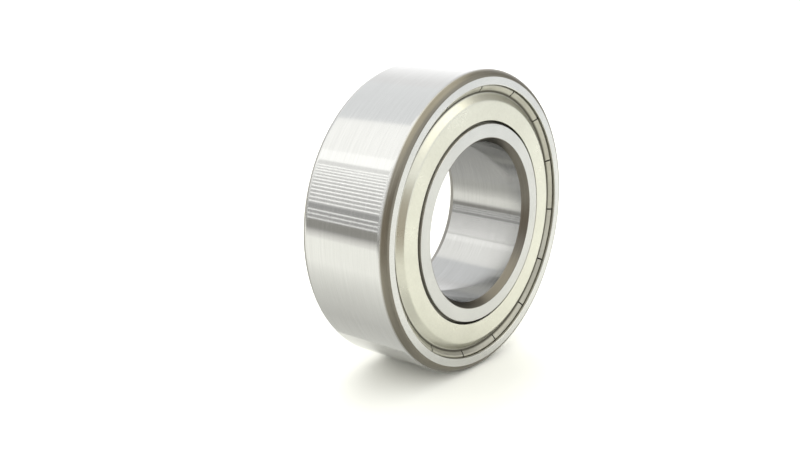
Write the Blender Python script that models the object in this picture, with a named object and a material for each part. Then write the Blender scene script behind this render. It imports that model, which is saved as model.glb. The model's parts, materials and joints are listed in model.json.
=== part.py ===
"""Shielded single-row deep-groove ball bearing, 25 mm bore, 47 mm outside diameter, 16 mm wide.

The bearing's axis is the Y axis and its centre is the origin. It stands on its outside
diameter with +Z up. The front side, y = -WIDTH / 2, is the one with front in its names.
Every turned ring is faceted with its flats tangent to the true circle.
"""

import bmesh
import bpy
from math import acos, asin, cos, degrees, pi, radians, sin, tan
from mathutils import Matrix, Vector

MM = 0.001

# Boundary dimensions
OUTSIDE_RADIUS = 23.5 * MM
BORE_RADIUS = 12.5 * MM
WIDTH = 16.0 * MM
HALF_WIDTH = WIDTH / 2

# Balls: 17/64 inch, ten on a 36 mm pitch circle
BALL_COUNT = 10
BALL_RADIUS = 6.747 * MM / 2
PITCH_RADIUS = 18.0 * MM
RUNNING_CLEARANCE = 0.12 * MM
GROOVE_RADIUS = 0.52 * 2 * BALL_RADIUS
FIRST_BALL_ANGLE = 90.0

# Outer ring
OUTER_SHOULDER_RADIUS = 20.1 * MM
OUTER_CHAMFER_RADIAL = 1.0 * MM
OUTER_CHAMFER_AXIAL = 1.35 * MM
LIP_RADIUS = 21.0 * MM
LIP_DEPTH = 0.4 * MM
SEAT_GROOVE_RADIUS = 21.5 * MM
SEAT_GROOVE_TOP = 0.6 * MM
SEAT_DEPTH = 1.65 * MM

# Inner ring
INNER_SHOULDER_RADIUS = 16.0 * MM
INNER_FACE_RADIUS = 15.35 * MM
INNER_RELIEF_DEPTH = 0.7 * MM
INNER_RELIEF_SLOPE = 0.4 * MM
INNER_EDGE_BREAK = 0.1 * MM
BORE_CHAMFER_RADIAL = 0.7 * MM
BORE_CHAMFER_AXIAL = 1.15 * MM

# Shields: sheet steel, dished, with a rolled rim slit into tabs
SHIELD_INNER_RADIUS = 15.8 * MM
SHIELD_THICKNESS = 0.35 * MM
SHIELD_RECESS = 0.2 * MM
SHIELD_FLAT_RADIUS = 18.6 * MM
SHIELD_FLOOR_DEPTH = 1.0 * MM
SHOULDER_BEND_RADIUS = 0.6 * MM
SHOULDER_SLOPE = 38.0
VALLEY_BEND_RADIUS = 0.4 * MM
RIM_BEAD_RADIUS = 0.5 * MM
RIM_BEAD_CENTRE = 20.67 * MM
RIM_BEAD_DEPTH = 0.97 * MM
TAB_COUNT = 15
SLIT_WIDTH = 0.3 * MM
SLIT_INNER_RADIUS = 20.3 * MM
SLIT_CUT_DEPTH = 2.0 * MM
FIRST_SLIT_ANGLE = 19.1

# Cage: two pressed ribbons riveted between the balls
CAGE_INNER_RADIUS = 16.6 * MM
CAGE_OUTER_RADIUS = 19.4 * MM
CAGE_THICKNESS = 0.65 * MM
CAGE_SPLIT = 0.3 * MM
POCKET_RADIUS = BALL_RADIUS + 0.15 * MM
RIVET_SHANK_RADIUS = 0.5 * MM
RIVET_HOLE_RADIUS = 0.75 * MM
RIVET_HOLE_REACH = 2.6 * MM
RIVET_HEAD_RADIUS = 1.0 * MM
RIVET_CROWN_RADIUS = 0.6 * MM
RIVET_HEAD_HEIGHT = 0.5 * MM
RIVET_HEAD_GAP = 0.15 * MM

# Facets
RING_SEGMENTS = 60
RACEWAY_STEPS = 4
CHAMFER_STEPS = 2
BEND_STEPS = 2
BEAD_STEPS = 4
POCKET_STEPS = 6
BALL_SEGMENTS = 12
BALL_STEPS = 6
RIVET_SEGMENTS = 8
CREASE_ANGLE = 25.0


def make_material(name, colour, roughness, metallic=1.0):
    """A plain Principled material in the part's own colour."""
    material = bpy.data.materials.new(name)
    material.use_nodes = True
    shader = material.node_tree.nodes["Principled BSDF"]
    shader.inputs["Base Color"].default_value = (*colour, 1.0)
    shader.inputs["Roughness"].default_value = roughness
    shader.inputs["Metallic"].default_value = metallic
    return material


def arc(centre_r, centre_y, radius, start, end, steps):
    """Points (r, y) along an arc, with angles in degrees from the +r direction."""
    angles = [radians(start + (end - start) * k / steps) for k in range(steps + 1)]
    return [(centre_r + radius * cos(a), centre_y + radius * sin(a)) for a in angles]


def both_sides(half):
    """A closed outline from the half with y >= 0, whose first point lies on y = 0."""
    return half + [(r, -y) for r, y in reversed(half[1:])]


def add_object(name, bm, material, parent, location=(0, 0, 0)):
    """Turn a bmesh into a named, smooth-shaded object."""
    bmesh.ops.recalc_face_normals(bm, faces=bm.faces)
    mesh = bpy.data.meshes.new(name)
    bm.to_mesh(mesh)
    bm.free()
    mesh.shade_smooth()
    mesh.set_sharp_from_angle(angle=radians(CREASE_ANGLE))
    mesh.materials.append(material)
    piece = bpy.data.objects.new(name, mesh)
    piece.location = location
    piece.parent = parent
    bpy.context.collection.objects.link(piece)
    return piece


def turn(outline, segments, first_angle, closed=True):
    """Turn an outline of (r, y) points about Y. An open outline starts and ends at r = 0."""
    bm = bmesh.new()
    widen = 1 / cos(pi / segments)
    columns = []
    poles = {}
    for k in range(segments):
        angle = radians(first_angle) + 2 * pi * k / segments
        column = []
        for index, (r, y) in enumerate(outline):
            if not closed and index in (0, len(outline) - 1):
                if index not in poles:
                    poles[index] = bm.verts.new((0, y, 0))
                column.append(poles[index])
            else:
                column.append(bm.verts.new((widen * r * cos(angle), y, widen * r * sin(angle))))
        columns.append(column)
    spans = len(outline) if closed else len(outline) - 1
    for k in range(segments):
        here, there = columns[k], columns[(k + 1) % segments]
        for i in range(spans):
            j = (i + 1) % len(outline)
            corners = [here[i], here[j], there[j], there[i]]
            bm.faces.new(list(dict.fromkeys(corners)))
    return bm


def raceway(bottom_r, bottom_angle, shoulder_r):
    """Half a groove's section, from its bottom at y = 0 to the edge of its shoulder."""
    centre_r = bottom_r - GROOVE_RADIUS * cos(radians(bottom_angle))
    shoulder_angle = degrees(acos((shoulder_r - centre_r) / GROOVE_RADIUS))
    return arc(centre_r, 0, GROOVE_RADIUS, bottom_angle, shoulder_angle, RACEWAY_STEPS)


def outer_ring_outline():
    bottom = PITCH_RADIUS + BALL_RADIUS + RUNNING_CLEARANCE
    half = raceway(bottom, 0, OUTER_SHOULDER_RADIUS)
    half += [
        (OUTER_SHOULDER_RADIUS, HALF_WIDTH - SEAT_DEPTH),
        (SEAT_GROOVE_RADIUS, HALF_WIDTH - SEAT_DEPTH),
        (SEAT_GROOVE_RADIUS, HALF_WIDTH - SEAT_GROOVE_TOP),
        (LIP_RADIUS, HALF_WIDTH - LIP_DEPTH),
        (LIP_RADIUS, HALF_WIDTH),
    ]
    # The chamfer leaves the face at a sharp edge and runs out tangent to the outside diameter.
    bend = (OUTER_CHAMFER_RADIAL ** 2 + OUTER_CHAMFER_AXIAL ** 2) / (2 * OUTER_CHAMFER_RADIAL)
    turn_in = degrees(asin(OUTER_CHAMFER_AXIAL / bend))
    start_y = HALF_WIDTH - OUTER_CHAMFER_AXIAL
    half += arc(OUTSIDE_RADIUS - bend, start_y, bend, turn_in, 0, CHAMFER_STEPS)
    return both_sides(half)


def inner_ring_outline():
    bottom = PITCH_RADIUS - BALL_RADIUS - RUNNING_CLEARANCE
    half = raceway(bottom, 180, INNER_SHOULDER_RADIUS)
    relief_y = HALF_WIDTH - INNER_RELIEF_DEPTH
    half += [
        (INNER_SHOULDER_RADIUS, relief_y - INNER_RELIEF_SLOPE),
        (INNER_FACE_RADIUS, relief_y),
        (INNER_FACE_RADIUS, HALF_WIDTH - INNER_EDGE_BREAK),
        (INNER_FACE_RADIUS - INNER_EDGE_BREAK, HALF_WIDTH),
        (BORE_RADIUS + BORE_CHAMFER_RADIAL, HALF_WIDTH),
        (BORE_RADIUS, HALF_WIDTH - BORE_CHAMFER_AXIAL),
    ]
    return both_sides(half)


def shield_outline(side):
    """A dished disc. Depths are measured inwards from the bearing's side face."""
    slope = radians(SHOULDER_SLOPE)
    drop = SHIELD_FLOOR_DEPTH - SHIELD_RECESS
    bends = SHOULDER_BEND_RADIUS + VALLEY_BEND_RADIUS
    straight_drop = drop - bends * (1 - cos(slope))
    floor_start = SHIELD_FLAT_RADIUS + bends * sin(slope) + straight_drop / tan(slope)
    points = [(SHIELD_INNER_RADIUS, SHIELD_RECESS)]
    points += arc(SHIELD_FLAT_RADIUS, SHIELD_RECESS + SHOULDER_BEND_RADIUS, SHOULDER_BEND_RADIUS,
                  -90, -90 + SHOULDER_SLOPE, BEND_STEPS)
    points += arc(floor_start, SHIELD_FLOOR_DEPTH - VALLEY_BEND_RADIUS, VALLEY_BEND_RADIUS,
                  90 + SHOULDER_SLOPE, 90, BEND_STEPS)
    points += arc(RIM_BEAD_CENTRE, RIM_BEAD_DEPTH, RIM_BEAD_RADIUS, 180, 360, BEAD_STEPS)
    # Underneath, one straight slope stands for both bends of the shoulder.
    back = SHIELD_FLOOR_DEPTH + SHIELD_THICKNESS
    under_flat = SHIELD_RECESS + SHIELD_THICKNESS
    under_start = SHIELD_FLAT_RADIUS + (SHOULDER_BEND_RADIUS - SHIELD_THICKNESS) * tan(slope / 2)
    points += [
        (RIM_BEAD_CENTRE + RIM_BEAD_RADIUS / 2, back),
        (under_start + drop / tan(slope), back),
        (under_start, under_flat),
        (SHIELD_INNER_RADIUS, under_flat),
    ]
    return [(r, side * (HALF_WIDTH - depth)) for r, depth in points]


def slit_blocks(side):
    """Radial blocks that cut the shield's rim into tabs."""
    bm = bmesh.new()
    length = SEAT_GROOVE_RADIUS - SLIT_INNER_RADIUS
    middle = Vector((
        SLIT_INNER_RADIUS + length / 2,
        side * (HALF_WIDTH - SLIT_CUT_DEPTH / 2),
        0,
    ))
    size = Matrix.Diagonal((length, SLIT_CUT_DEPTH, SLIT_WIDTH, 1))
    for k in range(TAB_COUNT):
        angle = radians(FIRST_SLIT_ANGLE) + 2 * pi * k / TAB_COUNT
        turned = Matrix.Rotation(-angle, 4, "Y") @ Matrix.Translation(middle) @ size
        bmesh.ops.create_cube(bm, size=1.0, matrix=turned)
    return bm


def cut(piece, bm):
    """Cut the shapes in bm out of a piece, with a hidden cutter beside it."""
    cutter = add_object(f"{piece.name}_cutter", bm, STEEL, piece.parent)
    cutter.hide_render = True
    cutter.display_type = "WIRE"
    boolean = piece.modifiers.new("cut", "BOOLEAN")
    boolean.operation = "DIFFERENCE"
    boolean.object = cutter


def make_shield(name, side, parent):
    facet = 360 / RING_SEGMENTS
    bm = turn(shield_outline(side), RING_SEGMENTS, FIRST_SLIT_ANGLE + facet / 2)
    shield = add_object(name, bm, SHIELD_STEEL, parent)
    cut(shield, slit_blocks(side))


def pocket_stations():
    """Pairs of (tangential distance, height) on a ribbon's two faces, over one ball."""
    low = CAGE_SPLIT / 2
    high = low + CAGE_THICKNESS
    near = asin(low / POCKET_RADIUS)
    far_radius = POCKET_RADIUS + CAGE_THICKNESS
    far = asin(high / far_radius)
    stations = []
    for k in range(POCKET_STEPS + 1):
        share = k / POCKET_STEPS
        a = pi - near - share * (pi - 2 * near)
        b = pi - far - share * (pi - 2 * far)
        inner_face = (POCKET_RADIUS * cos(a), POCKET_RADIUS * sin(a))
        outer_face = (far_radius * cos(b), far_radius * sin(b))
        stations.append((inner_face, outer_face))
    return stations


def make_cage_half(name, side, parent):
    """A ribbon that bows over each ball and lies flat between them."""
    bm = bmesh.new()
    columns = []
    for ball in range(BALL_COUNT):
        middle = radians(FIRST_BALL_ANGLE) + 2 * pi * ball / BALL_COUNT
        for inner_face, outer_face in pocket_stations():
            column = []
            for along, height in (inner_face, outer_face):
                angle = middle + along / PITCH_RADIUS
                for r in (CAGE_INNER_RADIUS, CAGE_OUTER_RADIUS):
                    column.append(bm.verts.new((r * cos(angle), side * height, r * sin(angle))))
            columns.append(column)
    for k, here in enumerate(columns):
        there = columns[(k + 1) % len(columns)]
        for i, j in ((0, 1), (1, 3), (3, 2), (2, 0)):
            bm.faces.new([here[i], here[j], there[j], there[i]])
    bmesh.ops.triangulate(bm, faces=bm.faces)
    half = add_object(name, bm, CAGE_STEEL, parent)
    cut(half, rivet_hole_plugs())


def rivet_angles():
    step = 360 / BALL_COUNT
    return [FIRST_BALL_ANGLE + step * (k + 0.5) for k in range(BALL_COUNT)]


def on_pitch_circle(angle):
    return (PITCH_RADIUS * cos(radians(angle)), 0, PITCH_RADIUS * sin(radians(angle)))


def rivet_hole_plugs():
    """A plug for each rivet hole in a ribbon, turned so that a flat faces outwards."""
    bm = bmesh.new()
    radius = RIVET_HOLE_RADIUS / cos(pi / RIVET_SEGMENTS)
    lay_along_y = Matrix.Rotation(pi / 2, 4, "X")
    half_facet = Matrix.Rotation(pi / RIVET_SEGMENTS, 4, "Z")
    for angle in rivet_angles():
        place = Matrix.Translation(on_pitch_circle(angle)) @ Matrix.Rotation(-radians(angle), 4, "Y")
        bmesh.ops.create_cone(bm, cap_ends=True, segments=RIVET_SEGMENTS, radius1=radius, radius2=radius,
                              depth=2 * RIVET_HOLE_REACH, matrix=place @ lay_along_y @ half_facet)
    return bm


def make_rivets(parent):
    """Short rivets with a pan head at each end, standing clear of the ribbons' holes."""
    under_head = CAGE_SPLIT / 2 + CAGE_THICKNESS + RIVET_HEAD_GAP
    top = under_head + RIVET_HEAD_HEIGHT
    half = [
        (RIVET_SHANK_RADIUS, under_head),
        (RIVET_HEAD_RADIUS, under_head),
        (RIVET_HEAD_RADIUS, under_head + RIVET_HEAD_HEIGHT / 2),
        (RIVET_CROWN_RADIUS, top),
        (0, top),
    ]
    outline = [(r, y) for r, y in reversed(half)] + [(r, -y) for r, y in half]
    for k, angle in enumerate(rivet_angles(), 1):
        bm = turn(outline, RIVET_SEGMENTS, angle, closed=False)
        add_object(f"rivet_{k:02d}", bm, RIVET_STEEL, parent, on_pitch_circle(angle))


def make_balls(parent):
    """Balls whose vertices all lie on the true sphere."""
    narrowed = BALL_RADIUS * cos(pi / BALL_SEGMENTS)
    latitudes = [pi * i / BALL_STEPS for i in range(BALL_STEPS + 1)]
    outline = [(narrowed * sin(a), BALL_RADIUS * cos(a)) for a in latitudes]
    for k in range(BALL_COUNT):
        angle = FIRST_BALL_ANGLE + 360 * k / BALL_COUNT
        bm = turn(outline, BALL_SEGMENTS, angle, closed=False)
        add_object(f"ball_{k + 1:02d}", bm, BALL_STEEL, parent, on_pitch_circle(angle))


def make_empty(name, parent=None):
    empty = bpy.data.objects.new(name, None)
    empty.parent = parent
    bpy.context.collection.objects.link(empty)
    return empty


for old in list(bpy.data.objects):
    bpy.data.objects.remove(old, do_unlink=True)

STEEL = make_material("ground_bearing_steel", (0.62, 0.62, 0.61), 0.22)
SHIELD_STEEL = make_material("satin_shield_steel", (0.72, 0.71, 0.64), 0.35)
CAGE_STEEL = make_material("pressed_cage_steel", (0.50, 0.49, 0.46), 0.40)
RIVET_STEEL = make_material("rivet_steel", (0.55, 0.54, 0.52), 0.35)
BALL_STEEL = make_material("polished_ball_steel", (0.75, 0.75, 0.76), 0.05)

centre = make_empty("bearing_centre")
cage_axis = make_empty("cage_axis", centre)

# A flat of the outside diameter lies level at the bottom, for the bearing to stand on.
bottom_flat = -90 + 180 / RING_SEGMENTS
add_object("outer_ring", turn(outer_ring_outline(), RING_SEGMENTS, bottom_flat), STEEL, centre)
add_object("inner_ring", turn(inner_ring_outline(), RING_SEGMENTS, bottom_flat), STEEL, centre)
make_shield("shield_front", -1, centre)
make_shield("shield_back", 1, centre)
make_cage_half("cage_front", -1, cage_axis)
make_cage_half("cage_back", 1, cage_axis)
make_rivets(cage_axis)
make_balls(cage_axis)
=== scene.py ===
"""Looks of the shielded ball bearing: fine turned rings, pressed shields, cage, rivets and balls.

The bearing's axis is Y, its centre is the origin, and it stands on its outside diameter.
Lengths are in metres, angles in degrees unless a name says otherwise.
"""

import json
from math import acos, asin, atan2, cos, degrees, pi, radians, sin, sqrt, tan

import bmesh
import bpy
from mathutils import Matrix, Vector


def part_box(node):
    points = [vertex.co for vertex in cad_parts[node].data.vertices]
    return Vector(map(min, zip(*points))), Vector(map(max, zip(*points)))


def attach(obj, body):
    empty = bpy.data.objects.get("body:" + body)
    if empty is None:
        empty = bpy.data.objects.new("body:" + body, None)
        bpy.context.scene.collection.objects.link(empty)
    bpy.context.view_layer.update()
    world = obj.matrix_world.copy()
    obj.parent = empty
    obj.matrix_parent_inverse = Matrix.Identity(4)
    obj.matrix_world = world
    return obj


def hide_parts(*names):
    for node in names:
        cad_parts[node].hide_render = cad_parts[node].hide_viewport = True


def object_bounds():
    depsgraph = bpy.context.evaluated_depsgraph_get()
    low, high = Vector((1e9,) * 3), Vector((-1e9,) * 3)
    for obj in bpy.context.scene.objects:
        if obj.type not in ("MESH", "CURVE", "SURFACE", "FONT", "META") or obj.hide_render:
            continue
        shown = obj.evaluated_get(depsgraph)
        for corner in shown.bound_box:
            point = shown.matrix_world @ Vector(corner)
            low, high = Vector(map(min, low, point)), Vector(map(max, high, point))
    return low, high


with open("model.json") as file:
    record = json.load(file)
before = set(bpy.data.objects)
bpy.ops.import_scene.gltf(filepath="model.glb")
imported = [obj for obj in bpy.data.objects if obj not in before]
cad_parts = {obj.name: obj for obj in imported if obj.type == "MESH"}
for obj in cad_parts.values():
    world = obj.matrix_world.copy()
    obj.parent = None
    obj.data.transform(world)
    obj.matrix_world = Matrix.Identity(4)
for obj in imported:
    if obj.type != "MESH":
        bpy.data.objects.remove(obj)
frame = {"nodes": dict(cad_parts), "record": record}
cad_low, cad_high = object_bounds()

MM = 0.001

# Read from the frame
OUTSIDE_RADIUS = cad_high.x
HALF_WIDTH = cad_high.y
FLOOR_HEIGHT = cad_low.z
BALL_NAMES = sorted(name for name in frame["nodes"] if name.startswith("ball_"))
RIVET_NAMES = sorted(name for name in frame["nodes"] if name.startswith("rivet_"))
BALL_COUNT = len(BALL_NAMES)
BALL_STEP = 360 / BALL_COUNT


def node_centre(name):
    low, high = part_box(name)
    return (low + high) / 2


def body_of_node(name):
    bodies = frame["record"]["behaviour"]["bodies"]
    return next(body for body, nodes in bodies.items() if name in nodes)


BALL_LOW, BALL_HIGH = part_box(BALL_NAMES[0])
BALL_RADIUS = (BALL_HIGH.y - BALL_LOW.y) / 2
PITCH_RADIUS = 18.0 * MM
FIRST_BALL_ANGLE = degrees(atan2(node_centre(BALL_NAMES[0]).z, node_centre(BALL_NAMES[0]).x))

# Raceways
GROOVE_RADIUS = 0.52 * 2 * BALL_RADIUS
RUNNING_CLEARANCE = 0.03 * MM

# Outer ring
OUTER_SHOULDER_RADIUS = 20.1 * MM
OUTER_CHAMFER_RADIAL = 1.15 * MM
OUTER_CHAMFER_AXIAL = 1.35 * MM
LIP_RADIUS = 21.15 * MM
LIP_DEPTH = 0.4 * MM
SEAT_GROOVE_RADIUS = 21.5 * MM
SEAT_GROOVE_TOP = 0.6 * MM
SEAT_DEPTH = 1.65 * MM

# Inner ring
BORE_RADIUS = 12.5 * MM
INNER_SHOULDER_RADIUS = 16.0 * MM
INNER_FACE_RADIUS = 15.35 * MM
INNER_RELIEF_DEPTH = 0.7 * MM
INNER_RELIEF_SLOPE = 0.4 * MM
BORE_CHAMFER_RADIAL = 0.7 * MM
BORE_CHAMFER_AXIAL = 1.15 * MM

# Shields
SHIELD_INNER_RADIUS = 15.8 * MM
SHIELD_THICKNESS = 0.3 * MM
SHIELD_RECESS = 0.2 * MM
SHIELD_FLAT_RADIUS = 18.6 * MM
SHIELD_FLOOR_DEPTH = 1.0 * MM
SHOULDER_BEND_RADIUS = 0.6 * MM
SHOULDER_SLOPE = 38.0
VALLEY_BEND_RADIUS = 0.4 * MM
RIM_WALL_FOOT = 20.1 * MM
RIM_WALL_SLOPE = 40.0
RIM_TOP_DEPTH = 0.42 * MM
RIM_TOP_RADIUS = 0.4 * MM
RIM_FOOT_BEND = 0.3 * MM
RIM_TIP_RADIUS = 0.11 * MM
RIM_UNDER_RADIUS = 0.22 * MM
SHIELD_EDGE_RADIUS = 0.06 * MM
TAB_COUNT = 15
SLIT_WIDTH = 0.24 * MM
FIRST_SLIT_ANGLE = 19.1

# Radii between which the colour changes: painted shade darkening the valley, and the chamfer's polished
# edge
VALLEY_SHADE_RING = (19.8 * MM, 20.38 * MM)
WORN_CHAMFER_EDGE = (23.36 * MM, 23.48 * MM)

# The valley's painted shade fades out over this width at both sides of its ring
VALLEY_SHADE_FADE = 0.2 * MM

# Cage and rivets
CAGE_INNER_RADIUS = 16.6 * MM
CAGE_OUTER_RADIUS = 19.4 * MM
CAGE_THICKNESS = 0.65 * MM
CAGE_SPLIT = 0.3 * MM
CAGE_BEND_RADIUS = 0.6 * MM
POCKET_RADIUS = BALL_RADIUS + 0.15 * MM
RIVET_SHANK_RADIUS = 0.5 * MM
RIVET_HEAD_RADIUS = 1.0 * MM
RIVET_HEAD_HEIGHT = 0.5 * MM
RIVET_HEAD_GAP = 0.02 * MM
RIVET_DOME_SHARE = 0.7

RING_SEGMENTS = 240
EDGE_STEPS = 3


# ---------------------------------------------------------------- materials

class Nodes:
    """A material's node tree, with short calls to add and link nodes."""

    def __init__(self, name):
        self.material = bpy.data.materials.new(name)
        self.material.use_nodes = True
        self.tree = self.material.node_tree
        self.shader = self.tree.nodes["Principled BSDF"]

    def add(self, kind, inputs=(), **settings):
        node = self.tree.nodes.new(kind)
        for key, value in settings.items():
            setattr(node, key, value)
        for socket, value in dict(inputs).items():
            if isinstance(value, bpy.types.NodeSocket):
                self.tree.links.new(value, node.inputs[socket])
            else:
                node.inputs[socket].default_value = value
        return node

    def math(self, operation, a, b=0.0):
        return self.add("ShaderNodeMath", {0: a, 1: b}, operation=operation).outputs[0]

    def remap(self, value, low, high, to_low, to_high):
        names = ("Value", "From Min", "From Max", "To Min", "To Max")
        inputs = dict(zip(names, (value, low, high, to_low, to_high)))
        return self.add("ShaderNodeMapRange", inputs).outputs["Result"]

    def blend(self, factor, a, b):
        node = self.add("ShaderNodeMix", data_type="RGBA")
        for socket, value in ((0, factor), (6, a), (7, b)):
            if isinstance(value, bpy.types.NodeSocket):
                self.tree.links.new(value, node.inputs[socket])
            elif socket:
                node.inputs[socket].default_value = (*value, 1.0)
            else:
                node.inputs[socket].default_value = value
        return node.outputs[2]

    def noise(self, vector, scale, detail=3.0, roughness=0.6):
        inputs = {"Vector": vector, "Scale": scale, "Detail": detail, "Roughness": roughness}
        return self.add("ShaderNodeTexNoise", inputs).outputs["Fac"]

    def place(self):
        return self.add("ShaderNodeTexCoord").outputs["Object"]

    def radius(self):
        flat = self.add("ShaderNodeVectorMath", {0: self.place(), 1: (1, 0, 1)}, operation="MULTIPLY")
        length = self.add("ShaderNodeVectorMath", {0: flat.outputs[0]}, operation="LENGTH")
        return length.outputs["Value"]

    def round_the_axis(self, along):
        """Coordinates that change fast across the lathe's marks and slowly along them."""
        place = self.add("ShaderNodeSeparateXYZ", {0: self.place()})
        right = self.math("MULTIPLY", place.outputs["X"], along)
        inputs = {"X": self.math("ADD", self.radius(), right), "Y": place.outputs["Y"],
                  "Z": self.math("MULTIPLY", place.outputs["Z"], along)}
        return self.add("ShaderNodeCombineXYZ", inputs).outputs[0]

    def bump(self, height, strength, distance, under=None):
        inputs = {"Height": height, "Strength": strength, "Distance": distance}
        if under is not None:
            inputs["Normal"] = under
        return self.add("ShaderNodeBump", inputs).outputs["Normal"]

    def finish(self, colour, roughness, normal=None, metallic=1.0):
        for socket, value in (("Base Color", colour), ("Roughness", roughness), ("Normal", normal)):
            if value is not None:
                self.tree.links.new(value, self.shader.inputs[socket])
        self.shader.inputs["Metallic"].default_value = metallic
        return self.material


def lathe_steel(name, dark, light, rough, mark_scale, mark_depth, anisotropic=0.0, soil_and_shade=0.0,
                worn_edge=None):
    """Steel with marks that run round the axis: ground, honed or turned. A worn edge is a
    pair of radii between which the finish runs out into bright ground steel."""
    n = Nodes(name)
    marks = n.noise(n.round_the_axis(0.02), mark_scale, detail=4.0, roughness=0.7)
    patches = n.noise(n.place(), 90.0, detail=4.0)
    tone = n.math("ADD", n.math("MULTIPLY", marks, 0.65), n.math("MULTIPLY", patches, 0.35))
    colour = n.blend(n.remap(tone, 0.35, 0.65, 0.0, 1.0), dark, light)
    if soil_and_shade:
        stain = n.remap(n.noise(n.place(), 420.0, detail=6.0, roughness=0.7), 0.56, 0.72, 0.0, soil_and_shade)
        colour = n.blend(stain, colour, (0.20, 0.17, 0.13))
    spread = 0.22 * rough
    roughness = n.remap(tone, 0.3, 0.7, rough - spread, rough + spread)
    if worn_edge:
        bare = n.remap(n.radius(), worn_edge[0], worn_edge[1], 0.0, 1.0)
        colour = n.blend(bare, colour, (0.50, 0.50, 0.495))
        roughness = n.remap(bare, 0.0, 1.0, roughness, 0.16)
    if anisotropic:
        n.shader.inputs["Anisotropic"].default_value = anisotropic
        n.shader.inputs["Anisotropic Rotation"].default_value = 0.25
        tangent = n.add("ShaderNodeTangent", direction_type="RADIAL", axis="Y")
        n.tree.links.new(tangent.outputs[0], n.shader.inputs["Tangent"])
    return n.finish(colour, roughness, n.bump(marks, 1.0, mark_depth))


def face_ground_steel(name, dark, light, rough, mark_depth):
    """Side faces ground between two discs, which leaves two sets of crossing arcs."""
    n = Nodes(name)
    heights = []
    for centre in ((0.075, 0.0, 0.030), (-0.070, 0.0, 0.045)):
        offset = n.add("ShaderNodeVectorMath", {0: n.place(), 1: centre}, operation="DISTANCE")
        line = n.add("ShaderNodeCombineXYZ", {"X": offset.outputs["Value"]}).outputs[0]
        heights.append(n.noise(line, 9000.0, detail=3.0, roughness=0.75))
    marks = n.math("MULTIPLY", n.math("ADD", heights[0], heights[1]), 0.5)
    patches = n.noise(n.place(), 150.0, detail=4.0)
    tone = n.math("ADD", n.math("MULTIPLY", marks, 0.6), n.math("MULTIPLY", patches, 0.4))
    colour = n.blend(n.remap(tone, 0.38, 0.62, 0.0, 1.0), dark, light)
    roughness = n.remap(tone, 0.35, 0.65, rough * 0.8, rough * 1.2)
    return n.finish(colour, roughness, n.bump(marks, 1.0, mark_depth))


def sheet_steel(name, dark, light, rough, grain_scale, grain_depth, shaded_ring=None):
    """Cold-rolled sheet after tumbling: an even fine grain with faint darker clouds. A ring given
    by the radii where it starts and ends can be darkened with painted shade."""
    n = Nodes(name)
    grain = n.noise(n.place(), grain_scale, detail=5.0, roughness=0.7)
    clouds = n.noise(n.place(), 110.0, detail=3.0)
    tone = n.math("ADD", n.math("MULTIPLY", grain, 0.45), n.math("MULTIPLY", clouds, 0.55))
    colour = n.blend(n.remap(tone, 0.36, 0.64, 0.0, 1.0), dark, light)
    roughness = n.remap(tone, 0.35, 0.65, rough * 1.15, rough * 0.85)
    if shaded_ring:
        # Painted shade: a near-black, rougher ring in the valley stands in for the shade that falls
        # there
        first, last = shaded_ring
        start = n.remap(n.radius(), first, first + VALLEY_SHADE_FADE, 0.0, 1.0)
        end = n.remap(n.radius(), last - VALLEY_SHADE_FADE, last, 1.0, 0.0)
        soil_and_shade = n.math("MULTIPLY", start, end)
        colour = n.blend(soil_and_shade, colour, (0.08, 0.075, 0.06))
        roughness = n.remap(soil_and_shade, 0.0, 1.0, roughness, 0.5)
    return n.finish(colour, roughness, n.bump(grain, 1.0, grain_depth))


def polished_steel(name):
    """Lapped balls: nearly a mirror, with a few hair-fine random scratches."""
    n = Nodes(name)
    scratch = n.noise(n.place(), 1500.0, detail=6.0, roughness=0.8)
    colour = n.blend(n.remap(scratch, 0.4, 0.6, 0.0, 1.0), (0.70, 0.70, 0.71), (0.76, 0.76, 0.77))
    roughness = n.remap(scratch, 0.35, 0.7, 0.03, 0.09)
    return n.finish(colour, roughness, n.bump(scratch, 1.0, 2.0e-8))


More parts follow.
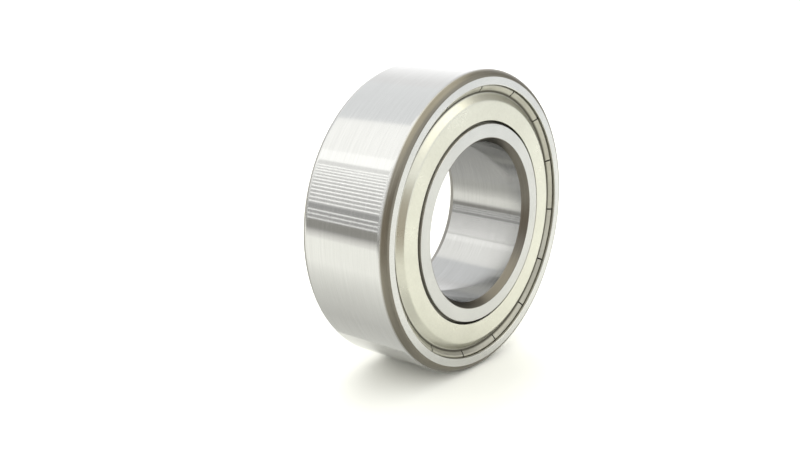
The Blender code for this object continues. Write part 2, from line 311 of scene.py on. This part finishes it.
def make_materials():
    return {
        "ground": lathe_steel("ground_diameter", (0.475, 0.475, 0.47), (0.525, 0.525, 0.52), 0.09,
                              5200.0, 2.0e-7, anisotropic=0.95),
        "face": face_ground_steel("ground_face", (0.495, 0.495, 0.485), (0.575, 0.575, 0.56),
                                  0.24, 3.0e-7),
        "inner_face": face_ground_steel("ground_inner_face", (0.445, 0.445, 0.435), (0.525, 0.525, 0.51),
                                        0.24, 3.0e-7),
        "chamfer": lathe_steel("turned_chamfer", (0.15, 0.138, 0.112), (0.21, 0.196, 0.165), 0.34,
                               2600.0, 8.0e-7, soil_and_shade=0.4, worn_edge=WORN_CHAMFER_EDGE),
        "bore_chamfer": lathe_steel("turned_bore_chamfer", (0.115, 0.105, 0.088), (0.17, 0.158, 0.138),
                                    0.34, 2600.0, 8.0e-7, soil_and_shade=0.2),
        "bore": lathe_steel("ground_bore", (0.37, 0.37, 0.365), (0.43, 0.43, 0.425), 0.14,
                            5200.0, 4.0e-7, anisotropic=0.9),
        "raceway": lathe_steel("honed_raceway", (0.66, 0.66, 0.66), (0.74, 0.74, 0.74), 0.09,
                               6000.0, 1.5e-7, anisotropic=0.8),
        "turned": lathe_steel("turned_recess", (0.34, 0.33, 0.29), (0.44, 0.43, 0.39), 0.50,
                              2400.0, 1.0e-6, soil_and_shade=0.2),
        "wall": lathe_steel("turned_wall", (0.40, 0.385, 0.34), (0.50, 0.485, 0.44), 0.62,
                            2400.0, 1.0e-6, soil_and_shade=0.2),
        # The rim is a darker copy of the shield's sheet: partly a duller formed finish, partly painted
        # shade of the rim under the lip
        "rim": sheet_steel("formed_rim_and_painted_shade", (0.31, 0.30, 0.255), (0.40, 0.39, 0.335), 0.33,
                           2600.0, 6.0e-7, shaded_ring=VALLEY_SHADE_RING),
        "shield": sheet_steel("satin_shield", (0.53, 0.525, 0.455), (0.60, 0.595, 0.52), 0.30,
                              2600.0, 4.0e-7, shaded_ring=VALLEY_SHADE_RING),
        "cage": sheet_steel("pressed_cage", (0.42, 0.41, 0.38), (0.56, 0.55, 0.52), 0.38,
                            1800.0, 1.2e-6),
        "rivet": lathe_steel("headed_rivet", (0.46, 0.45, 0.43), (0.60, 0.59, 0.57), 0.34,
                             2200.0, 8.0e-7),
        "ball": polished_steel("polished_ball"),
    }


# ---------------------------------------------------------------- outlines

def arc(centre_r, centre_y, radius, start, end, steps):
    """Points (r, y) along an arc, with angles in degrees from the +r direction."""
    angles = [radians(start + (end - start) * k / steps) for k in range(steps + 1)]
    return [(centre_r + radius * cos(a), centre_y + radius * sin(a)) for a in angles]


def rounded(before, corner, after, radius):
    """The points that round a corner off with an arc of the given radius."""
    point = Vector(corner)
    back = (Vector(before) - point).normalized()
    on = (Vector(after) - point).normalized()
    half = acos(max(-1.0, min(1.0, back.dot(on)))) / 2
    reach = radius / tan(half)
    centre = point + (back + on).normalized() * radius / sin(half)
    first = point + back * reach - centre
    last = point + on * reach - centre
    sweep = pi - 2 * half
    points = []
    for k in range(EDGE_STEPS + 1):
        share = k / EDGE_STEPS
        a = sin((1 - share) * sweep) / sin(sweep)
        b = sin(share * sweep) / sin(sweep)
        points.append(tuple(centre + first * a + last * b))
    return points


def outline(*steps):
    """A chain of (finish, points) from steps: each step is (finish, r, y, rounding) for a
    corner, or (finish, points) for a curve. A finish names the surface after its point."""
    anchors = [step[1][0] if len(step) == 2 else step[1:3] for step in steps]
    ends = [step[1][-1] if len(step) == 2 else step[1:3] for step in steps]
    points = []
    for k, step in enumerate(steps):
        if len(step) == 2:
            points += [(r, y, step[0]) for r, y in step[1]]
        elif step[3] and 0 < k < len(steps) - 1:
            curve = rounded(ends[k - 1], step[1:3], anchors[k + 1], step[3])
            points += [(r, y, step[0]) for r, y in curve]
        else:
            points.append((step[1], step[2], step[0]))
    return points


def both_sides(half):
    """Closes an outline whose first point lies on y = 0 with its mirror image."""
    mirrored = [(half[k][0], -half[k][1], half[k - 1][2]) for k in range(len(half) - 1, 0, -1)]
    return half + mirrored


def raceway(bottom_r, bottom_angle, shoulder_r):
    centre_r = bottom_r - GROOVE_RADIUS * cos(radians(bottom_angle))
    shoulder_angle = degrees(acos((shoulder_r - centre_r) / GROOVE_RADIUS))
    return arc(centre_r, 0, GROOVE_RADIUS, bottom_angle, shoulder_angle, 14)


def outer_ring_outline():
    bottom = PITCH_RADIUS + BALL_RADIUS + RUNNING_CLEARANCE
    bend = (OUTER_CHAMFER_RADIAL ** 2 + OUTER_CHAMFER_AXIAL ** 2) / (2 * OUTER_CHAMFER_RADIAL)
    turn_in = degrees(asin(OUTER_CHAMFER_AXIAL / bend))
    chamfer = arc(OUTSIDE_RADIUS - bend, HALF_WIDTH - OUTER_CHAMFER_AXIAL, bend, turn_in, 0, 12)
    half = outline(
        ("raceway", raceway(bottom, 0, OUTER_SHOULDER_RADIUS)),
        ("turned", OUTER_SHOULDER_RADIUS, HALF_WIDTH - SEAT_DEPTH, 0.12 * MM),
        ("turned", SEAT_GROOVE_RADIUS, HALF_WIDTH - SEAT_DEPTH, 0.15 * MM),
        ("turned", SEAT_GROOVE_RADIUS, HALF_WIDTH - SEAT_GROOVE_TOP, 0.08 * MM),
        ("turned", LIP_RADIUS, HALF_WIDTH - LIP_DEPTH, 0.05 * MM),
        ("face", LIP_RADIUS, HALF_WIDTH, 0.1 * MM),
        ("chamfer", chamfer),
    )
    half[-1] = (half[-1][0], half[-1][1], "ground")
    return both_sides(half)


def inner_ring_outline():
    bottom = PITCH_RADIUS - BALL_RADIUS - RUNNING_CLEARANCE
    relief_y = HALF_WIDTH - INNER_RELIEF_DEPTH
    half = outline(
        ("raceway", raceway(bottom, 180, INNER_SHOULDER_RADIUS)),
        ("turned", INNER_SHOULDER_RADIUS, relief_y - INNER_RELIEF_SLOPE, 0.12 * MM),
        ("wall", INNER_FACE_RADIUS, relief_y, 0.15 * MM),
        ("inner_face", INNER_FACE_RADIUS, HALF_WIDTH, 0.08 * MM),
        ("bore_chamfer", BORE_RADIUS + BORE_CHAMFER_RADIAL, HALF_WIDTH, 0.15 * MM),
        ("bore", BORE_RADIUS, HALF_WIDTH - BORE_CHAMFER_AXIAL, 0.0),
    )
    return both_sides(half)


# ---------------------------------------------------------------- meshes

def new_piece(name, bm, finishes, sharp=28.0, weighted=True):
    """Make a smooth-shaded object whose faces' material indices count through finishes."""
    bmesh.ops.recalc_face_normals(bm, faces=bm.faces)
    mesh = bpy.data.meshes.new(name)
    bm.to_mesh(mesh)
    bm.free()
    mesh.shade_smooth()
    mesh.set_sharp_from_angle(angle=radians(sharp))
    for finish in finishes:
        mesh.materials.append(MATERIALS[finish])
    piece = bpy.data.objects.new(name, mesh)
    bpy.context.scene.collection.objects.link(piece)
    if weighted:
        normals = piece.modifiers.new("flat_faces_stay_flat", "WEIGHTED_NORMAL")
        normals.keep_sharp = True
    return piece


def stand_for(piece, node, body=None):
    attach(piece, body or body_of_node(node))
    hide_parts(node)


def lathe(name, points, segments=RING_SEGMENTS, closed=True):
    """Turn (r, y, finish) points about Y. An open outline starts and ends on the axis."""
    finishes = sorted({point[2] for point in points})
    bm = bmesh.new()
    columns = []
    poles = {}
    for k in range(segments):
        a = 2 * pi * k / segments
        column = []
        for index, (r, y, _) in enumerate(points):
            if closed or 0 < index < len(points) - 1:
                column.append(bm.verts.new((r * cos(a), y, r * sin(a))))
                continue
            if index not in poles:
                poles[index] = bm.verts.new((0, y, 0))
            column.append(poles[index])
        columns.append(column)
    spans = len(points) if closed else len(points) - 1
    for k in range(segments):
        here, there = columns[k], columns[(k + 1) % segments]
        for i in range(spans):
            j = (i + 1) % len(points)
            corners = dict.fromkeys([here[i], here[j], there[j], there[i]])
            face = bm.faces.new(list(corners))
            face.material_index = finishes.index(points[i][2])
    return new_piece(name, bm, finishes)


def shield_sections():
    """The pressed disc's section in two parts, as (r, depth): the dished plate, which is a
    closed ring, and the rolled rim, which is cut into tabs. Both are in outline order."""
    slope = radians(SHOULDER_SLOPE)
    bends = SHOULDER_BEND_RADIUS + VALLEY_BEND_RADIUS
    straight_drop = SHIELD_FLOOR_DEPTH - SHIELD_RECESS - bends * (1 - cos(slope))
    floor_start = SHIELD_FLAT_RADIUS + bends * sin(slope) + straight_drop / tan(slope)
    shoulder_y = SHIELD_RECESS + SHOULDER_BEND_RADIUS
    valley_y = SHIELD_FLOOR_DEPTH - VALLEY_BEND_RADIUS
    t = SHIELD_THICKNESS
    edge = SHIELD_EDGE_RADIUS
    low, high = -90, -90 + SHOULDER_SLOPE
    top = arc(SHIELD_INNER_RADIUS + edge, SHIELD_RECESS + edge, edge, -180, -90, EDGE_STEPS)
    top += arc(SHIELD_FLAT_RADIUS, shoulder_y, SHOULDER_BEND_RADIUS, low, high, 10)
    top += arc(floor_start, valley_y, VALLEY_BEND_RADIUS, high + 180, 90, 8)
    under_y = SHIELD_FLOOR_DEPTH + t
    under = [(RIM_WALL_FOOT, under_y)]
    under += arc(floor_start, valley_y, VALLEY_BEND_RADIUS + t, 90, high + 180, 8)
    under += arc(SHIELD_FLAT_RADIUS, shoulder_y, SHOULDER_BEND_RADIUS - t, high, low, 8)
    under += arc(SHIELD_INNER_RADIUS + edge, SHIELD_RECESS + t - edge, edge, 90, 180, EDGE_STEPS)
    # The rim's front: a bend up from the floor, a leaning wall, a rolled top and a rounded outer
    # edge. Behind its front the rim is solid, and its back runs level to the plate.
    lean = radians(RIM_WALL_SLOPE)
    foot = arc(RIM_WALL_FOOT - RIM_FOOT_BEND * tan(lean / 2), SHIELD_FLOOR_DEPTH - RIM_FOOT_BEND,
               RIM_FOOT_BEND, 90, 90 - RIM_WALL_SLOPE, 4)
    top_y = RIM_TOP_DEPTH + RIM_TOP_RADIUS
    rise = top_y - RIM_TOP_RADIUS * cos(lean)
    wall_top_r = foot[-1][0] + (foot[-1][1] - rise) / tan(lean)
    top_r = wall_top_r + RIM_TOP_RADIUS * sin(lean)
    top += foot
    rim = arc(top_r, top_y, RIM_TOP_RADIUS, -90 - RIM_WALL_SLOPE, 20, 12)
    tip = rim[-1]
    rim += arc(tip[0] - RIM_TIP_RADIUS, tip[1] + 0.16 * MM, RIM_TIP_RADIUS, 0, 160, 5)
    rim += arc(RIM_WALL_FOOT + 0.1 * MM, under_y - RIM_UNDER_RADIUS, RIM_UNDER_RADIUS, 30, 90, 5)
    return top, rim, under


def make_shield(name, side):
    """Stations go round the disc; between a slit's two stations the rim is left out."""
    top, rim, under = shield_sections()
    plate = [(r, side * (HALF_WIDTH - depth)) for r, depth in under + top]
    tab = [(r, side * (HALF_WIDTH - depth)) for r, depth in rim]
    slit = degrees(SLIT_WIDTH / LIP_RADIUS)
    tab_steps = RING_SEGMENTS // TAB_COUNT
    bm = bmesh.new()
    stations = []
    for k in range(TAB_COUNT):
        start = FIRST_SLIT_ANGLE + k * 360 / TAB_COUNT + slit / 2
        for step in range(tab_steps + 1):
            a = radians(start + step * (360 / TAB_COUNT - slit) / tab_steps)
            plate_column = [bm.verts.new((r * cos(a), y, r * sin(a))) for r, y in plate]
            tab_column = [bm.verts.new((r * cos(a), y, r * sin(a))) for r, y in tab]
            stations.append((plate_column, tab_column, step == tab_steps))
    for k, (plate_a, tab_a, before_slit) in enumerate(stations):
        plate_b, tab_b, after = stations[(k + 1) % len(stations)]
        for i in range(len(plate) - 1):
            bm.faces.new([plate_a[i], plate_a[i + 1], plate_b[i + 1], plate_b[i]])
        # Where there is a tab its section joins the plate's two ends; a slit closes them.
        here = [plate_a[-1], *tab_a, plate_a[0]]
        there = [plate_b[-1], *tab_b, plate_b[0]]
        if before_slit:
            faces = [bm.faces.new([here[0], here[-1], there[-1], there[0]])]
            faces += [bm.faces.new(here), bm.faces.new(there)]
        else:
            faces = [bm.faces.new([here[i], here[i + 1], there[i + 1], there[i]])
                     for i in range(len(here) - 1)]
        for face in faces:
            face.material_index = 1
    bmesh.ops.triangulate(bm, faces=[face for face in bm.faces if len(face.verts) > 4])
    return new_piece(name, bm, ["shield", "rim"], sharp=50.0)


def ribbon_path():
    """Half of one ribbon's middle line over a ball, from the ball's top to mid-way between
    two balls, as (tangential distance, height), for a pocket whose middle radius is the pocket's radius
    plus half the sheet."""
    height = CAGE_SPLIT / 2 + CAGE_THICKNESS / 2
    radius = POCKET_RADIUS + CAGE_THICKNESS / 2
    bend = CAGE_BEND_RADIUS
    bend_t = sqrt((radius + bend) ** 2 - (height + bend) ** 2)
    meet = degrees(atan2(height + bend, bend_t))
    points = arc(0, 0, radius, 90, meet, 12)
    points += arc(bend_t, height + bend, bend, meet + 180, 270, 5)[1:]
    end = PITCH_RADIUS * pi / BALL_COUNT
    points += [(bend_t + (end - bend_t) * share, height) for share in (0.35, 0.7, 1.0)]
    return points


def make_cage_half(name, side):
    """A ribbon, dished round each ball, given its thickness by Solidify and rounded edges."""
    half = ribbon_path()
    path = [(-t, h) for t, h in reversed(half)][1:-1] + half
    across = 6
    height = CAGE_SPLIT / 2 + CAGE_THICKNESS / 2
    radius = POCKET_RADIUS + CAGE_THICKNESS / 2
    bm = bmesh.new()
    rows = []
    for ball in range(BALL_COUNT):
        middle = radians(FIRST_BALL_ANGLE + ball * BALL_STEP)
        for t, h in path:
            row = []
            for k in range(across + 1):
                r = CAGE_INNER_RADIUS + (CAGE_OUTER_RADIUS - CAGE_INNER_RADIUS) * k / across
                # The pocket is a ball's shape: lower towards the ribbon's two edges.
                offset = r - PITCH_RADIUS
                bulge = (h - height) / (radius - height)
                low = radius - sqrt(radius ** 2 - offset ** 2)
                a = middle + t / PITCH_RADIUS
                row.append(bm.verts.new((r * cos(a), side * (h - bulge * low), r * sin(a))))
            rows.append(row)
    for k, here in enumerate(rows):
        there = rows[(k + 1) % len(rows)]
        for i in range(across):
            bm.faces.new([here[i], here[i + 1], there[i + 1], there[i]])
    piece = new_piece(name, bm, ["cage"], sharp=60.0, weighted=False)
    shell = piece.modifiers.new("sheet_thickness", "SOLIDIFY")
    shell.thickness = CAGE_THICKNESS
    shell.offset = 0.0
    shell.use_even_offset = True
    edge = piece.modifiers.new("tumbled_edges", "BEVEL")
    edge.width = 0.08 * MM
    edge.segments = 2
    edge.limit_method = "ANGLE"
    edge.angle_limit = radians(50)
    return piece


def make_rivet(name):
    """A rivet: a shank with a low domed head at each end."""
    under = CAGE_SPLIT / 2 + CAGE_THICKNESS + RIVET_HEAD_GAP
    top = under + RIVET_HEAD_HEIGHT
    rise = RIVET_DOME_SHARE * RIVET_HEAD_HEIGHT
    dome = (RIVET_HEAD_RADIUS ** 2 + rise ** 2) / (2 * rise)
    reach = degrees(asin(RIVET_HEAD_RADIUS / dome))
    cap = [(dome * sin(radians(a)), top - dome + dome * cos(radians(a)))
           for a in [reach * k / 6 for k in range(7)]]
    half = cap + [(RIVET_HEAD_RADIUS, under), (RIVET_SHANK_RADIUS, under)]
    points = half + [(r, -y) for r, y in reversed(half)]
    return lathe(name, [(r, y, "rivet") for r, y in points], segments=32, closed=False)


def make_ball(name):
    """A ball made from a rounded cube, so that it has no poles."""
    bm = bmesh.new()
    bmesh.ops.create_cube(bm, size=2.0)
    bmesh.ops.subdivide_edges(bm, edges=bm.edges, cuts=11, use_grid_fill=True)
    for vert in bm.verts:
        x, y, z = (tan(c * pi / 4) for c in vert.co)
        vert.co = Vector((x, y, z)).normalized() * BALL_RADIUS
    return new_piece(name, bm, ["ball"], sharp=180.0, weighted=False)


def make_bearing():
    ring = lathe("outer_ring_fine", outer_ring_outline())
    stand_for(ring, "outer_ring")
    ring = lathe("inner_ring_fine", inner_ring_outline())
    stand_for(ring, "inner_ring")
    for node, side in (("shield_front", -1), ("shield_back", 1)):
        stand_for(make_shield(f"{node}_fine", side), node)
    for node, side in (("cage_front", -1), ("cage_back", 1)):
        stand_for(make_cage_half(f"{node}_fine", side), node)
    for node in RIVET_NAMES:
        rivet = make_rivet(f"{node}_fine")
        rivet.location = node_centre(node)
        stand_for(rivet, node)
    for node in BALL_NAMES:
        ball = make_ball(f"{node}_fine")
        ball.location = node_centre(node)
        stand_for(ball, node)


# ---------------------------------------------------------------- studio

CAMERA_AZIMUTH = -50.7
CAMERA_ELEVATION = 14.95
CAMERA_DISTANCE = 0.1612
AIM_RIGHT = -0.0065
AIM_UP = -0.0015
LENS = 45.96


def direction(azimuth, elevation):
    """Azimuth 0 is towards -Y, and -90 towards -X."""
    a, e = radians(azimuth), radians(elevation)
    return Vector((sin(a) * cos(e), -cos(a) * cos(e), sin(e)))


def make_camera():
    back = direction(CAMERA_AZIMUTH, CAMERA_ELEVATION)
    right = Vector((0, 0, 1)).cross(back).normalized()
    up = back.cross(right)
    data = bpy.data.cameras.new("camera")
    data.lens = LENS
    data.sensor_width = 36.0
    data.clip_start = 0.005
    camera = bpy.data.objects.new("camera", data)
    turn = Matrix((right, up, back)).transposed().to_4x4()
    aim = right * AIM_RIGHT + up * AIM_UP
    camera.matrix_world = Matrix.Translation(aim + back * CAMERA_DISTANCE) @ turn
    bpy.context.scene.collection.objects.link(camera)
    bpy.context.scene.camera = camera


def stage_material(name, colour, emission=0.0):
    """A floor or backdrop paint, or with emission an evenly glowing card."""
    material = bpy.data.materials.new(name)
    material.use_nodes = True
    shader = material.node_tree.nodes["Principled BSDF"]
    shader.inputs["Base Color"].default_value = (0, 0, 0, 1) if emission else (*colour, 1.0)
    shader.inputs["Roughness"].default_value = 0.8
    shader.inputs["Specular IOR Level"].default_value = 0.0
    shader.inputs["Emission Color"].default_value = (*colour, 1.0)
    shader.inputs["Emission Strength"].default_value = emission
    return material


def make_floor():
    """A white sheet that is a little warmer near the bearing than far away."""
    n = Nodes("pale_floor")
    away = n.add("ShaderNodeVectorMath", {0: n.place()}, operation="LENGTH").outputs["Value"]
    colour = n.blend(n.remap(away, 0.08, 0.45, 0.0, 1.0), (0.98, 0.97, 0.90), (0.93, 0.935, 0.94))
    n.tree.links.new(colour, n.shader.inputs["Base Color"])
    n.shader.inputs["Roughness"].default_value = 0.8
    n.shader.inputs["Specular IOR Level"].default_value = 0.0
    mesh = bpy.data.meshes.new("floor")
    reach = 3.0
    corners = [(-reach, -reach, 0), (reach, -reach, 0), (reach, reach, 0), (-reach, reach, 0)]
    mesh.from_pydata(corners, [], [(0, 1, 2, 3)])
    mesh.materials.append(n.material)
    floor = bpy.data.objects.new("floor", mesh)
    floor.location.z = FLOOR_HEIGHT
    bpy.context.scene.collection.objects.link(floor)


def card(name, corners, colour, emission):
    """A glowing card that only the bearing's reflections see."""
    mesh = bpy.data.meshes.new(name)
    mesh.from_pydata(corners, [], [(0, 1, 2, 3)])
    mesh.materials.append(stage_material(name, colour, emission))
    piece = bpy.data.objects.new(name, mesh)
    bpy.context.scene.collection.objects.link(piece)
    piece.visible_camera = False
    piece.visible_diffuse = False
    piece.visible_shadow = False
    return piece


def fading_card(name, corners, axis, start, end, colour=(1.0, 1.0, 1.0)):
    """A glowing card whose glow changes along an axis. Start and end are (place, glow)."""
    piece = card(name, corners, colour, 1.0)
    tree = piece.data.materials[0].node_tree
    place = tree.nodes.new("ShaderNodeTexCoord")
    parts = tree.nodes.new("ShaderNodeSeparateXYZ")
    fade = tree.nodes.new("ShaderNodeMapRange")
    for socket, value in zip(("From Min", "From Max", "To Min", "To Max"),
                             (start[0], end[0], start[1], end[1])):
        fade.inputs[socket].default_value = value
    tree.links.new(place.outputs["Object"], parts.inputs[0])
    tree.links.new(parts.outputs[axis], fade.inputs["Value"])
    tree.links.new(fade.outputs["Result"], tree.nodes["Principled BSDF"].inputs["Emission Strength"])


# Cards on the floor lie just over it. The white sheet ends at SHEET_EDGE on the left.
CARD_LIFT = 0.0002
BLIND_DISTANCE = 0.4
BLIND_NEAR = -0.1
BLIND_FAR = 2.0
BLIND_GAPS = 16
BLIND_SHUT_GAP = 12
BLIND_TOP_GAP = 0.776
BLIND_PITCH = 0.0545
BLIND_GAP_WIDTH = 0.014
SHEET_EDGE = -0.098
SHADE_START = -0.014
SIDE_DISTANCE = 0.085
SIDE_HALF_WIDTH = 0.0125
SIDE_TOP = 0.030


def left_card(name, low, high, glow, ahead=0.0, colour=(1.0, 1.0, 0.97)):
    """An upright card on the left, parallel to the axis. Heights are shares of its distance."""
    x = ahead - BLIND_DISTANCE
    low, high = low * BLIND_DISTANCE, high * BLIND_DISTANCE
    corners = [(x, BLIND_NEAR, low), (x, BLIND_FAR, low), (x, BLIND_FAR, high), (x, BLIND_NEAR, high)]
    card(name, corners, colour, glow)


def make_blind():
    """A window on the left: thin bright gaps between grey slats, and a light panel above."""
    for k in range(BLIND_GAPS):
        middle = BLIND_TOP_GAP - BLIND_PITCH * k
        low, high = middle - BLIND_GAP_WIDTH / 2, middle + BLIND_GAP_WIDTH / 2
        if k != BLIND_SHUT_GAP:
            left_card(f"blind_gap_{k:02d}", low, high, 3.0 - 0.08 * k, 0.004)
        glow = 1.2 - 0.03 * k if k < BLIND_SHUT_GAP else 0.62
        left_card(f"blind_slat_{k:02d}", middle - BLIND_PITCH / 2, middle + BLIND_PITCH / 2, glow)
    left_card("blind_head", 0.80, 0.90, 1.4)
    left_card("bright_panel", 0.90, 1.22, 2.0)
    left_card("upper_panel", 1.22, 8.0, 1.8)


def make_dark_surround():
    """Past the white sheet's edge, on the left and on the camera's side, all is brown-grey."""
    z = FLOOR_HEIGHT + CARD_LIFT
    near, far = SHEET_EDGE - 0.06, -BLIND_DISTANCE + 0.001
    corners = [(far, 0.0, z), (near, 0.0, z), (near, 1.4, z), (far, 1.4, z)]
    card("dark_table", corners, (1.0, 0.98, 0.90), 0.5)
    corners = [(near, 0.0, z), (SHEET_EDGE, 0.0, z), (SHEET_EDGE, 1.4, z), (near, 1.4, z)]
    fading_card("sheet_edge", corners, "X", (near, 0.5), (SHEET_EDGE, 1.45), (1.0, 0.99, 0.93))
    for k, (azimuth, glow) in enumerate(((-70, 0.75), (-54, 0.75), (-38, 0.6), (-22, 0.5))):
        out = direction(azimuth, 0)
        side = Vector((0, 0, 1)).cross(out)
        centre = out * SIDE_DISTANCE
        corners = [tuple(centre + side * s * SIDE_HALF_WIDTH + Vector((0, 0, h)))
                   for s, h in ((-1, FLOOR_HEIGHT), (1, FLOOR_HEIGHT), (1, SIDE_TOP), (-1, SIDE_TOP))]
        card(f"dark_side_{k}", corners, (1.0, 0.90, 0.75), glow)


def make_room():
    """In front on the right: the sheet, a little dimmer, then a darker part of the room.
    Overhead: a bright ceiling panel."""
    z = FLOOR_HEIGHT + CARD_LIFT
    corners = [(0.15, -0.14, z), (0.15, -1.0, z), (1.0, -1.0, z), (1.0, -0.14, z)]
    card("dim_front", corners, (0.98, 1.0, 1.0), 1.3)
    corners = [(0.45, -0.28, 0.0), (0.55, 0.02, 0.0), (0.55, 0.02, 0.62), (0.45, -0.28, 0.62)]
    card("dim_room", corners, (1.0, 0.98, 0.92), 0.55)
    corners = [(-0.45, -0.8, 0.6), (0.6, -0.8, 0.6), (0.6, 0.12, 0.6), (-0.45, 0.12, 0.6)]
    card("ceiling_panel", corners, (1.0, 0.98, 0.88), 2.2)


def make_right_panel():
    """A soft bright wall on the right that fades upwards."""
    corners = [(0.5, 0.0, 0.0), (0.5, 1.4, 0.0), (0.5, 1.4, 0.8), (0.5, 0.0, 0.8)]
    fading_card("right_panel", corners, "Z", (0.18, 1.6), (0.60, 1.3))


def make_shaded_sheet():
    """On the left the sheet gets darker towards the bearing, and behind it darker still."""
    z = FLOOR_HEIGHT + 1.5 * CARD_LIFT
    near = SHADE_START
    corners = [(SHEET_EDGE, -0.03, z), (near, -0.03, z), (near, 0.5, z), (SHEET_EDGE, 0.5, z)]
    fading_card("shaded_sheet", corners, "X", (-0.050, 1.62), (-0.021, 0.88), (1.0, 1.0, 0.93))
    corners = [(near, 0.016, z), (0.04, 0.016, z), (0.04, 0.08, z), (near, 0.08, z)]
    fading_card("shade_behind", corners, "X", (near, 0.88), (0.03, 0.55), (1.0, 1.0, 0.95))


def make_world():
    world = bpy.data.worlds.new("studio")
    world.use_nodes = True
    background = world.node_tree.nodes["Background"]
    background.inputs["Color"].default_value = (0.98, 0.995, 1.0, 1.0)
    background.inputs["Strength"].default_value = 1.35
    bpy.context.scene.world = world


def make_lights():
    data = bpy.data.lights.new("soft_key", "AREA")
    data.shape = "DISK"
    data.size = 0.5
    data.energy = 2.0
    light = bpy.data.objects.new("soft_key", data)
    light.location = (0.42, 0.36, 0.30)
    light.visible_glossy = False
    light.rotation_mode = "QUATERNION"
    light.rotation_quaternion = light.location.to_track_quat("Z", "Y")
    bpy.context.scene.collection.objects.link(light)


bpy.context.scene.view_settings.view_transform = "Standard"
MATERIALS = make_materials()
make_bearing()
make_camera()
make_floor()
make_blind()
make_dark_surround()
make_room()
make_right_panel()
make_shaded_sheet()
make_world()
make_lights()
